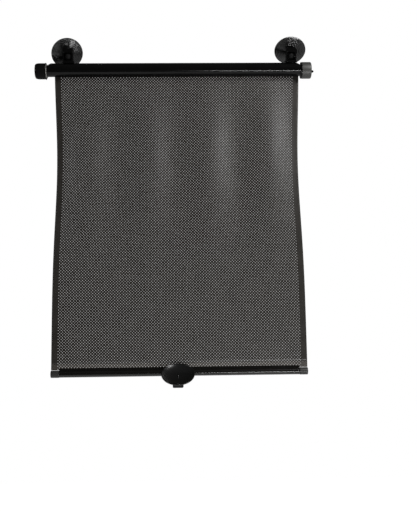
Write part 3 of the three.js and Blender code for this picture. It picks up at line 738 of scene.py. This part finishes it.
def surround(ambient):
    """A world that the camera sees as white and that lights the shade softly.

    The soft light's brightness goes by the direction's share of the way from down to up.
    """
    world = bpy.data.worlds.new("Studio Surround")
    world.use_nodes = True
    tree = world.node_tree
    tree.nodes.clear()
    path = tree.nodes.new("ShaderNodeLightPath")
    white = tree.nodes.new("ShaderNodeBackground")
    white.inputs["Color"].default_value = (1, 1, 1, 1)
    soft = tree.nodes.new("ShaderNodeBackground")
    soft.inputs["Strength"].default_value = ambient
    fall = tree.nodes.new("ShaderNodeValToRGB")
    stops = fall.color_ramp.elements
    stops[0].position = SURROUND[0][0]
    stops[1].position = SURROUND[2][0]
    stops.new(SURROUND[1][0])
    for stop, (_, tone) in zip(stops, SURROUND):
        stop.color = (tone, tone, tone, 1)
    way = tree.nodes.new("ShaderNodeSeparateXYZ")
    tree.links.new(tree.nodes.new("ShaderNodeTexCoord").outputs["Generated"], way.inputs[0])
    tree.links.new(maths(tree, "MULTIPLY_ADD", way.outputs[2], 0.5, 0.5), fall.inputs[0])
    tree.links.new(fall.outputs[0], soft.inputs["Color"])
    seen = maths(
        tree, "MAXIMUM", path.outputs["Is Camera Ray"], path.outputs["Is Transmission Ray"])
    choose = tree.nodes.new("ShaderNodeMixShader")
    tree.links.new(seen, choose.inputs[0])
    tree.links.new(soft.outputs[0], choose.inputs[1])
    tree.links.new(white.outputs[0], choose.inputs[2])
    out = tree.nodes.new("ShaderNodeOutputWorld")
    tree.links.new(choose.outputs[0], out.inputs["Surface"])
    return world


class SUNSHADE_OT_studio(Operator):
    """Set up the pale floor, the lights and the world"""

    bl_idname = "sunshade.studio"
    bl_label = "Studio"

    def execute(self, context):
        """A flat floor well below the shade, a white surround, and soft rectangular lights."""
        studio = context.scene.shade_studio
        wide, low = FLOOR_HALF_WIDTH, FLOOR_HEIGHT
        corners = [[-wide, FLOOR_NEAR, low], [wide, FLOOR_NEAR, low],
                   [wide, FLOOR_FAR, low], [-wide, FLOOR_FAR, low]]
        mesh = new_mesh("floor", corners, [[0, 1, 2, 3]])
        mesh.materials.append(pale_material("Pale Floor"))
        floor = bpy.data.objects.new("floor", mesh)
        context.scene.collection.objects.link(floor)

        area_light("Key", *KEY_LIGHT, studio.key_power)
        area_light("Low Strip", *STRIP_LIGHT, studio.strip_power)
        area_light("Fill", *FILL_LIGHT, studio.fill_power)

        context.scene.world = surround(studio.ambient)
        context.scene.view_settings.view_transform = "Standard"
        return {"FINISHED"}


# Casing

def arc(radius, start, stop, steps):
    """Points of a circle about the casing's axis, radius times (cos, sin) plus its rise."""
    angle = np.linspace(start, stop, steps)
    return np.stack([radius * np.cos(angle), CASING_RISE + radius * np.sin(angle)], -1)


def bead_at(angle, start, steps=8):
    """Half circle about the wall's middle at an angle, from the start direction anticlockwise."""
    middle = CASING_R - CASING_WALL / 2
    centre = np.array([middle * math.cos(angle), CASING_RISE + middle * math.sin(angle)])
    around = start + np.linspace(0, math.pi, steps + 2)[1:-1]
    return centre + CASING_WALL / 2 * np.stack([np.cos(around), np.sin(around)], -1)


def casing_outline():
    """Closed outline of the casing: tube, flat top with undercut channel, and film slot."""
    inner = CASING_R - CASING_WALL
    top = CASING_RISE + CASING_FLAT
    roof = top - CHANNEL_LIP
    bed = roof - CHANNEL_HEIGHT
    under = bed - CHANNEL_FLOOR
    half, slot, wall = CHANNEL_WIDTH / 2, CHANNEL_SLOT / 2, CHANNEL_WIDTH / 2 + CHANNEL_FLOOR
    lean = math.asin(CASING_FLAT / CASING_R)
    foot = math.acos(wall / inner)
    flat_y = CASING_R * math.cos(lean)
    channel = [(flat_y, top), (slot, top), (slot, roof), (half, roof), (half, bed)]
    mirrored = [(-y, z) for y, z in reversed(channel)]
    box_under = [(-wall, CASING_RISE + inner * math.sin(foot)), (-wall, under), (wall, under)]
    return np.concatenate([
        arc(CASING_R, SLOT_TO, lean, 60)[:-1],
        channel,
        mirrored,
        arc(CASING_R, math.pi - lean, SLOT_FROM + 2 * math.pi, 80)[1:],
        bead_at(SLOT_FROM, SLOT_FROM),
        arc(inner, SLOT_FROM + 2 * math.pi, math.pi - foot, 50)[:-1],
        box_under,
        arc(inner, foot, SLOT_TO, 50),
        bead_at(SLOT_TO, SLOT_TO + math.pi),
    ])


class SUNSHADE_OT_casing(Operator):
    """Make the casing with its bracket channel and film slot"""

    bl_idname = "sunshade.casing"
    bl_label = "Casing"

    def execute(self, context):
        """The outline is carried along X; at each end, points above a slope are drawn inwards."""
        top = CASING_RISE + CASING_FLAT
        along, down = END_CHAMFER
        past = along + 0.5
        ring_edges = [RING_PLACE + k * RING_HALF_WIDTH for k in (-1.2, -0.8, 0.8, 1.2)]
        stations = [CASING_LEFT, *(CASING_LEFT + edge for edge in ring_edges), CASING_LEFT + past]
        stations += list(np.linspace(*EVEN_STATIONS))
        stations += [CASING_RIGHT - past, CASING_RIGHT]

        def shape(points):
            """Turns a shallow ring into the left end and cuts both top corners off at a slope."""
            x, y, z = (points[..., k].copy() for k in range(3))
            ring = (np.abs(x - CASING_LEFT - RING_PLACE) < RING_HALF_WIDTH) * RING_DEPTH
            far = np.hypot(y, z - CASING_RISE)
            outer = far > CASING_R - 0.01
            shrink = np.where(outer, 1 - ring / CASING_R, 1)
            y, z = y * shrink, CASING_RISE + (z - CASING_RISE) * shrink
            draw = np.clip((z - (top - down)) / down, 0, 1) * along
            x = np.minimum(np.maximum(x, CASING_LEFT + draw), CASING_RIGHT - draw)
            return np.stack([x, y, z], -1)

        points, faces, ends = section_along_x(casing_outline(), stations, shape)
        points = moved(points, turn_x(HEAD_TURN))
        mesh = closed_outwards(new_mesh("casing_shell", points, faces, ends))
        add_piece(mesh, "headrail", ["casing"], gloss_plastic(), smooth=28)
        return {"FINISHED"}


# End caps and lock

class SUNSHADE_OT_end_caps(Operator):
    """Make the two end caps and the release button"""

    bl_idname = "sunshade.end_caps"
    bl_label = "End Caps"

    def execute(self, context):
        """Each cap is a cup-shaped profile of (radius, place) points turned about X.

        The right cap's end wall is drawn down towards its hole, in proportion to the way in from
        its wall, so that the hole lies about the button.
        """
        end = LEFT_CAP_END - LEFT_CAP_LENGTH
        inner = LEFT_CAP_R - CAP_WALL
        narrowing, taper = LEFT_CAP_TAPER
        rise, width = LEFT_CAP_RIM
        left = rounded([
            (0, end), (LEFT_CAP_R - narrowing, end), (LEFT_CAP_R, end + taper),
            (LEFT_CAP_R, LEFT_CAP_END - width - 0.2),
            (LEFT_CAP_R + rise, LEFT_CAP_END - width), (LEFT_CAP_R + rise, LEFT_CAP_END),
            (inner, LEFT_CAP_END), (inner, end + CAP_END_WALL), (0, end + CAP_END_WALL),
        ], {1: 1.8, 2: 2, 3: 0.2, 4: 0.2, 5: 0.2, 6: 0.2, 7: 0.6})
        points, faces = turned_profile(left, "X", 96)
        mesh = closed_outwards(new_mesh("left_end_cap", points, faces))
        # The left cap gets the caps' plastic at 0.12 of its colour: painted shade on the same plastic
        # as the right cap.
        shaded_cap_plastic = cap_plastic("Left Cap Painted Shade", 0.12)
        add_piece(mesh, "headrail", ["left_cap"], shaded_cap_plastic, 50)

        end = RIGHT_CAP_FROM + RIGHT_CAP_LENGTH
        inner = RIGHT_CAP_R - CAP_WALL
        bottom = end - CAP_END_WALL
        right = rounded([
            (PIN_HOLE_R, bottom), (PIN_HOLE_R, end), (RIGHT_CAP_R, end), (RIGHT_CAP_R, RIGHT_CAP_FROM),
            (inner, RIGHT_CAP_FROM), (inner, bottom), (PIN_HOLE_R, bottom),
        ], {1: 0.3, 2: 2.4, 3: 0.35, 4: 0.2, 5: 0.6})
        points, faces = turned_profile(right, "X", 96)
        away = np.hypot(points[..., 1], points[..., 2])
        share = np.clip(1 - away / inner, 0, 1) / (1 - PIN_HOLE_R / inner)
        drop = turn_x(HEAD_TURN) @ np.array([0, 0, -PIN_DROP])
        points = points + share[..., None] * drop
        mesh = closed_outwards(new_mesh("right_end_cap", points, faces))
        add_piece(mesh, "headrail", ["right_cap"], cap_plastic(), 50)

        low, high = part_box("release_pin")
        start, ball_x = low.x / MM, high.x / MM - PIN_BALL_R
        fall = np.linspace(math.pi * 0.77, 0, 24)
        ball = np.stack([PIN_BALL_R * np.sin(fall), ball_x + PIN_BALL_R * np.cos(fall)], -1)
        collar_to = bottom - CLEARANCE
        collar_from = collar_to - PIN_COLLAR_T
        profile = np.concatenate([
            [(0, start), (PIN_STEM_R, start), (PIN_STEM_R, collar_from), (PIN_COLLAR_R, collar_from),
             (PIN_COLLAR_R, collar_to), (PIN_STEM_R, collar_to)], ball])
        profile[-1, 0] = 0
        points, faces = turned_profile(profile, "X", 48)
        points = moved(points, None, drop)
        mesh = closed_outwards(new_mesh("release_button", points, faces))
        add_piece(mesh, "release_button", ["release_pin"], gloss_plastic(), 40)
        return {"FINISHED"}


def softened_copy(node, name, body, material, context):
    """The node's own solid with its loose triangles merged, flat faces joined and edges rounded."""
    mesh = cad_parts[node].data.copy()
    mesh.name = name
    mesh.materials.clear()
    work = bmesh.new()
    work.from_mesh(mesh)
    bmesh.ops.remove_doubles(work, verts=work.verts, dist=2e-6)
    bmesh.ops.dissolve_limit(work, angle_limit=math.radians(0.6), verts=work.verts, edges=work.edges)
    bmesh.ops.recalc_face_normals(work, faces=work.faces)
    work.to_mesh(mesh)
    work.free()
    return add_piece(mesh, body, [node], material, 30, context.scene.shade_sizes.edge_round * 0.7)


class SUNSHADE_OT_brackets(Operator):
    """Round the edges of the brackets, the bar's clip and the lock's plate"""

    bl_idname = "sunshade.brackets"
    bl_label = "Brackets"

    def execute(self, context):
        """Uses the solids' own shapes, with a narrow rounding along every moulded edge."""
        for node, name, body in (
            ("left_bracket", "left_carrier", "left_slider"),
            ("right_bracket", "right_carrier", "right_slider"),
            ("bottom_clip", "bar_holder", "bar_clip"),
            ("right_end_plate", "lock_plate", "headrail"),
        ):
            softened_copy(node, name, body, gloss_plastic(), context)
        return {"FINISHED"}


# Suction cups

def cup_profile(sizes):
    """Profile of a suction cup as (radius, place) points, from the ball's pole to the hollow's middle.

    The outside runs straight from boss to rim, bulged by a sine arch and rippled by a raised
    cosine for each ring. The hollow is a cubic bowl with a small nub in its middle.
    """
    ball = np.linspace(math.pi, math.asin(NECK_R / BALL_R), 22)
    ball = BALL_R * np.stack([np.sin(ball), np.cos(ball)], -1)
    ball[0, 0] = 0
    boss = rounded([(NECK_R, 5.4), (NECK_R, 6.2), (3, 6.9), (6, 8.9), BOSS_EDGE], 0.8)
    t = np.linspace(0, 1, 90)
    start, stop = np.array(BOSS_EDGE), np.array([CUP_R, CUP_HEIGHT - CUP_EDGE])
    line = start + (stop - start) * t[:, None]
    ripple = (1 - np.cos(2 * math.pi * sizes.cup_grooves * t)) / 2 * sizes.groove_depth / MM
    ringed = t < 0.93
    line[:, 1] -= ripple * ringed + CUP_BULGE * np.sin(math.pi * t)
    flat_r = CUP_R - CUP_EDGE
    inward, down = CUP_EDGE_STEP
    rim = rounded([line[-1], (CUP_R, CUP_HEIGHT), (flat_r, CUP_HEIGHT),
                   (flat_r - inward, CUP_HEIGHT - down)], 0.3)[1:]
    share = np.linspace((flat_r - inward) / flat_r, 0.07, 36)
    bed = CUP_HEIGHT - CUP_HOLLOW
    bowl = np.stack([share * flat_r, bed + CUP_HOLLOW * share ** 3 - down * (share > 0.97)], -1)[1:]
    nub = rounded([bowl[-1], (1.35, bed), (1.1, bed + NUB_RISE), (0, bed + NUB_RISE)], 0.35)[1:]
    return np.concatenate([ball, boss, line[1:], rim, bowl, nub])


def dull_ball(cup, centre):
    """Gives the faces within a ball's reach of its centre the cup's duller second material."""
    mesh = cup.data
    mesh.materials.append(ball_rubber())
    middles = np.empty(len(mesh.polygons) * 3)
    mesh.polygons.foreach_get("center", middles)
    away = np.linalg.norm(middles.reshape(-1, 3) - np.asarray(centre) * MM, axis=1)
    mesh.polygons.foreach_set("material_index", (away < BALL_R * 1.04 * MM).astype(np.int32))


class SUNSHADE_OT_cups(Operator):
    """Make the three suction cups"""

    bl_idname = "sunshade.cups"
    bl_label = "Suction Cups"

    def execute(self, context):
        """One profile turned about Y, then tilted on its ball and put where its socket is."""
        points, faces = turned_profile(cup_profile(context.scene.shade_sizes), "Y", 128)
        head = turn_x(HEAD_TURN)
        for node, name, body, x, (up, out) in (
            ("left_cup", "left_suction_cup", "left_sucker", LEFT_BRACKET_X, LEFT_CUP_TILT),
            ("right_cup", "right_suction_cup", "right_sucker", RIGHT_BRACKET_X, RIGHT_CUP_TILT),
        ):
            tilt = turn_z(math.radians(-out)) @ turn_x(math.radians(up))
            placed = moved(moved(points, tilt, (x, 0, BALL_RISE)), head)
            mesh = closed_outwards(new_mesh(name, placed, faces))
            cup = add_piece(mesh, body, [node], cup_rubber(), 60)
            dull_ball(cup, head @ np.array([x, 0, BALL_RISE]))
        placed = moved(points, None, (0, 0, CLIP_ARM))
        placed = moved(placed, turn_x(CLIP_TURN), (CLIP_X, FILM_Y, -FILM_DROP))
        mesh = closed_outwards(new_mesh("bar_suction_cup", placed, faces))
        add_piece(mesh, "bar_sucker", ["bottom_cup"], cup_rubber(), 60)
        return {"FINISHED"}


# Film

def wave_share(t):
    """How deep the waves are at a share t of the way down: a root of a sine times a bell curve."""
    ends = np.sqrt(np.clip(np.sin(np.pi * np.minimum(1, t * 1.02)), 0, 1))
    return ends * np.exp(-(((t - WAVE_CENTRE) / WAVE_SPREAD) ** 2) / 2)


def film_points(s, t):
    """Place of the film at share s across and t down.

    x is (s - 1/2) times the width less the waist, y is the film's plane plus a cosine of x and a
    slanting sine of s and t, and z goes straight down.
    """
    share = wave_share(t)
    across, down = RIPPLES
    x = (s - 0.5) * (FILM_WIDTH - 2 * WAIST * share)
    y = FILM_Y + WAVE_HEIGHT * share * np.cos(2 * math.pi * x / WAVE_LENGTH)
    y = y + RIPPLE * np.sin(2 * math.pi * (s * across + t * down)) * np.sin(math.pi * t)
    z = PANEL_TOP + (PANEL_FOOT - PANEL_TOP) * t
    return np.stack(np.broadcast_arrays(x, y, z), -1)


def set_uv(mesh, coordinate):
    """Gives each face corner the (across, down) place of its vertex, in metres."""
    layer = mesh.uv_layers.new(name="FilmPlace")
    corners = np.empty(len(mesh.loops), np.int32)
    mesh.loops.foreach_get("vertex_index", corners)
    layer.data.foreach_set("uv", np.asarray(coordinate, np.float32)[corners].ravel())


def pocket_outline():
    """Closed outline of the film folded round the bar, with both layers going up to the weld.

    Two circles about the bar, one film thickness apart, joined by a narrow slit above it.
    """
    ring = np.linspace(math.radians(96), math.radians(444), 57)
    circle = np.stack([np.cos(ring), np.sin(ring)], -1)
    inner = BAR_R + CLEARANCE
    outer = inner + FILM_T
    shoulder, slit_foot = outer + 0.5, inner + 0.1
    return np.concatenate([
        outer * circle,
        [(FILM_T, shoulder), (FILM_T, POCKET_TOP), (SLIT_HALF, POCKET_TOP), (SLIT_HALF, slit_foot)],
        inner * circle[::-1],
        [(-SLIT_HALF, slit_foot), (-SLIT_HALF, POCKET_TOP), (-FILM_T, POCKET_TOP), (-FILM_T, shoulder)],
    ])


def hem_strip(rows, columns):
    """Mesh of the perforated strip above the bar, in line with the film's own holes.

    x is the share across times the width, z the row, and y a fine sine of x that fades at both
    long edges.
    """
    z = np.linspace(HEM_RISE + HEM_LAP, BAR_CAP_R + CLEARANCE, rows)[:, None]
    share = np.linspace(-0.5, 0.5, columns)[None, :]
    fade = np.sin(math.pi * (z - z[-1]) / (z[0] - z[-1]))
    y = HEM_PUCKER * np.sin(HEM_PUCKERS * share) * fade
    x, y, z = np.broadcast_arrays(share * FILM_WIDTH, y, z)
    strip = moved(np.stack([x, y, z], -1), None, (0, FILM_Y, -FILM_DROP))
    mesh = new_mesh("film_hem_strip", strip, grid_faces(rows, columns, False)[:, ::-1])
    set_uv(mesh, np.stack([x, FILM_DROP - z], -1).reshape(-1, 2) * MM)
    return mesh


def thicken(piece, thickness):
    """Gives a sheet its thickness in metres, half to each side."""
    wall = piece.modifiers.new("Film Thickness", "SOLIDIFY")
    wall.thickness = thickness
    wall.offset = 0


class SUNSHADE_OT_film(Operator):
    """Make the hanging film and its hem"""

    bl_idname = "sunshade.film"
    bl_label = "Film"

    def execute(self, context):
        """The film is a grid of points, the pocket an outline carried along X."""
        across, down = 181, 121
        s, t = np.linspace(0, 1, across)[None, :], np.linspace(0, 1, down)[:, None]
        points = film_points(s, t)
        mesh = new_mesh("hanging_film", points, grid_faces(down, across, False)[:, ::-1])
        place = np.stack(np.broadcast_arrays((s - 0.5) * FILM_WIDTH * MM, -points[:, :1, 2] * MM), -1)
        set_uv(mesh, place.reshape(-1, 2))
        perforated = film_material("Perforated Film", True)
        film = add_piece(mesh, "headrail", ["film_panel"], perforated, 60)
        thicken(film, SHEET_T * MM)

        half = FILM_WIDTH / 2 - BAR_CAP_LENGTH - CLEARANCE
        points, faces, ends = section_along_x(pocket_outline(), np.linspace(-half, half, 60))
        points = moved(points, None, (0, FILM_Y, -FILM_DROP))
        mesh = closed_outwards(new_mesh("film_pocket", points, faces, ends))
        pocket = add_piece(mesh, "shade_bar", [], pocket_film_painted_shade(), 40)

        # The hem strip gets the perforated film at 2.2 times its colour: painted light on the same
        # film.
        hem_film_painted_light = film_material("Hem Film Painted Light", True, share=2.2, specular=0.3)
        hem = add_piece(hem_strip(12, across), "shade_bar", ["film_hem"], hem_film_painted_light, 60)
        thicken(hem, FILM_T * MM)

        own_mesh(film)
        return {"FINISHED"}


# Bar

class SUNSHADE_OT_bar(Operator):
    """Make the caps on the bar's two ends"""

    bl_idname = "sunshade.bar"
    bl_label = "Bar Caps"

    def execute(self, context):
        """A cup-shaped profile turned about X, and its mirror image for the other end."""
        end = FILM_WIDTH / 2 + 0.4
        start = FILM_WIDTH / 2 - BAR_CAP_LENGTH
        profile = rounded([
            (0, end), (BAR_CAP_R, end), (BAR_CAP_R, start + 1.4), (BAR_CAP_R, start),
            (BAR_R + CLEARANCE, start), (BAR_R + CLEARANCE, end - 1.1), (0, end - 1.1),
        ], {1: 1.1, 3: 0.3, 4: 0.15, 5: 0.2})
        points, faces = turned_profile(profile, "X", 64)
        for side, node, name in (
            (-1, "left_bar_cap", "left_bar_end"),
            (1, "right_bar_cap", "right_bar_end"),
        ):
            placed = moved(points * np.array([side, 1, 1]), None, (0, FILM_Y, -FILM_DROP))
            mesh = closed_outwards(new_mesh(name, placed, faces))
            bar_plastic = cap_plastic("Bar Cap Plastic", 0.6)
            add_piece(mesh, "shade_bar", [node], bar_plastic, 50)
        return {"FINISHED"}


class SUNSHADE_OT_inner_parts(Operator):
    """Give the parts inside the casing their materials"""

    bl_idname = "sunshade.inner_parts"
    bl_label = "Inner Parts"

    def execute(self, context):
        """Only the materials change: the solids keep their own shapes."""
        finishes = (
            (bar_steel(), ("spring_arbor", "rewind_spring", "roller_tube", "bottom_bar", "pawl_pin",
                           "pawl_spring")),
            (hub_nylon(), ("left_end_plug", "left_hub", "spring_drive_plug", "ratchet_hub", "pawl",
                           "film_clamp_strip")),
            # The film roll takes the pocket film, painted shade at a fifth of the film's colour.
            (pocket_film_painted_shade(), ("film_roll",)),
        )
        for material, nodes in finishes:
            for node in nodes:
                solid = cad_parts[node]
                if solid.material_slots:
                    for place in solid.material_slots:
                        place.material = material
                else:
                    solid.data.materials.append(material)
        return {"FINISHED"}


# Panel and start

class SUNSHADE_PT_panel(Panel):
    """Lists the sunshade's settings and its building steps"""

    bl_idname = "SUNSHADE_PT_panel"
    bl_label = "Roller Sunshade"
    bl_space_type = "VIEW_3D"
    bl_region_type = "UI"
    bl_category = "Sunshade"

    def draw(self, context):
        """Shows the settings in three boxes, and a button for each step."""
        layout = self.layout
        scene = context.scene
        for settings in (scene.shade_sizes, scene.shade_colours, scene.shade_studio):
            box = layout.box()
            for field in settings.bl_rna.properties.keys():
                if field not in {"rna_type", "name"}:
                    box.prop(settings, field)
        for step in STEPS:
            layout.operator(step.bl_idname)


STEPS = (
    SUNSHADE_OT_camera,
    SUNSHADE_OT_inner_parts,
    SUNSHADE_OT_casing,
    SUNSHADE_OT_end_caps,
    SUNSHADE_OT_brackets,
    SUNSHADE_OT_cups,
    SUNSHADE_OT_film,
    SUNSHADE_OT_bar,
    SUNSHADE_OT_studio,
)
CLASSES = (ShadeSizes, ShadeColours, ShadeStudio, *STEPS, SUNSHADE_PT_panel)


def register():
    """Registers the classes and puts the settings on the scene."""
    for cls in CLASSES:
        bpy.utils.register_class(cls)
    bpy.types.Scene.shade_sizes = PointerProperty(type=ShadeSizes)
    bpy.types.Scene.shade_colours = PointerProperty(type=ShadeColours)
    bpy.types.Scene.shade_studio = PointerProperty(type=ShadeStudio)


def unregister():
    """Takes the settings and the classes away again."""
    del bpy.types.Scene.shade_studio
    del bpy.types.Scene.shade_colours
    del bpy.types.Scene.shade_sizes
    for cls in reversed(CLASSES):
        bpy.utils.unregister_class(cls)


def main():
    """Builds the scene step by step."""
    register()
    bpy.ops.sunshade.camera()
    bpy.ops.sunshade.inner_parts()
    bpy.ops.sunshade.casing()
    bpy.ops.sunshade.end_caps()
    bpy.ops.sunshade.brackets()
    bpy.ops.sunshade.cups()
    bpy.ops.sunshade.film()
    bpy.ops.sunshade.bar()
    bpy.ops.sunshade.studio()


if __name__ == "__main__":
    main()
